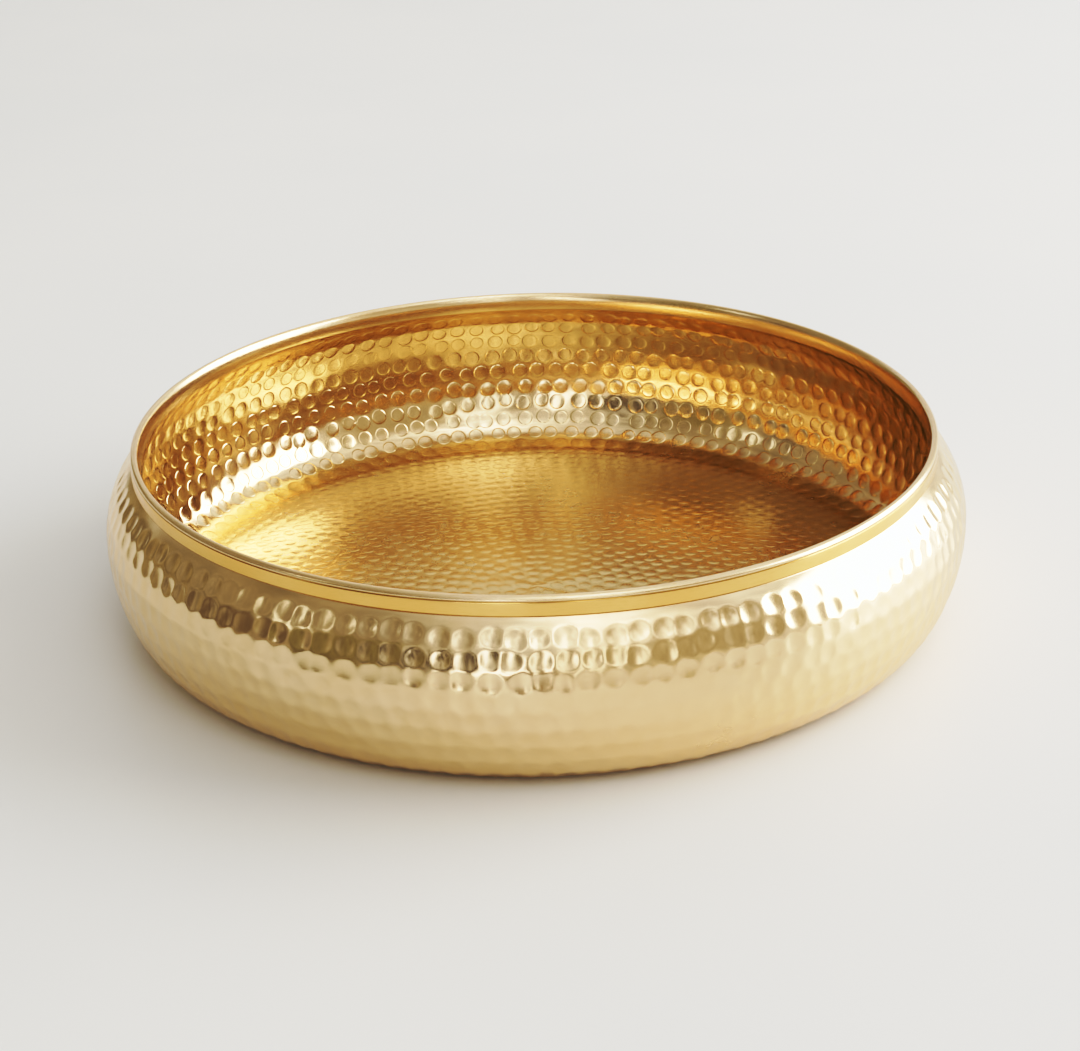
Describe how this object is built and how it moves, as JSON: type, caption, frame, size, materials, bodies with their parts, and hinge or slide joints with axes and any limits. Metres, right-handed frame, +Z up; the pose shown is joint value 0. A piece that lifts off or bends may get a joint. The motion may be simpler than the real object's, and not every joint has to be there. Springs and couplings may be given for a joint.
{
  "type": "hammered bowl",
  "caption": "Wide, shallow round serving bowl in hammered yellow metal, with a flat floor, a bulging wall, an inturned shoulder and a smooth band capping the rim.",
  "frame": {"origin": "on the bowl's axis, at the underside of the floor", "axes": "+Z up along the bowl's axis; X and Y are level and interchangeable"},
  "size_m": [0.35, 0.35, 0.075],
  "materials": {
    "shell_metal": "hammered, satin, clear lacquered",
    "band_metal": "smooth, brightly polished, clear lacquered",
    "wire_metal": "plain drawn wire"
  },
  "bodies": {
    "root": {"bowl_shell": "shell_metal", "rim_band": "band_metal", "rim_wire": "wire_metal"}
  },
  "joints": []
}
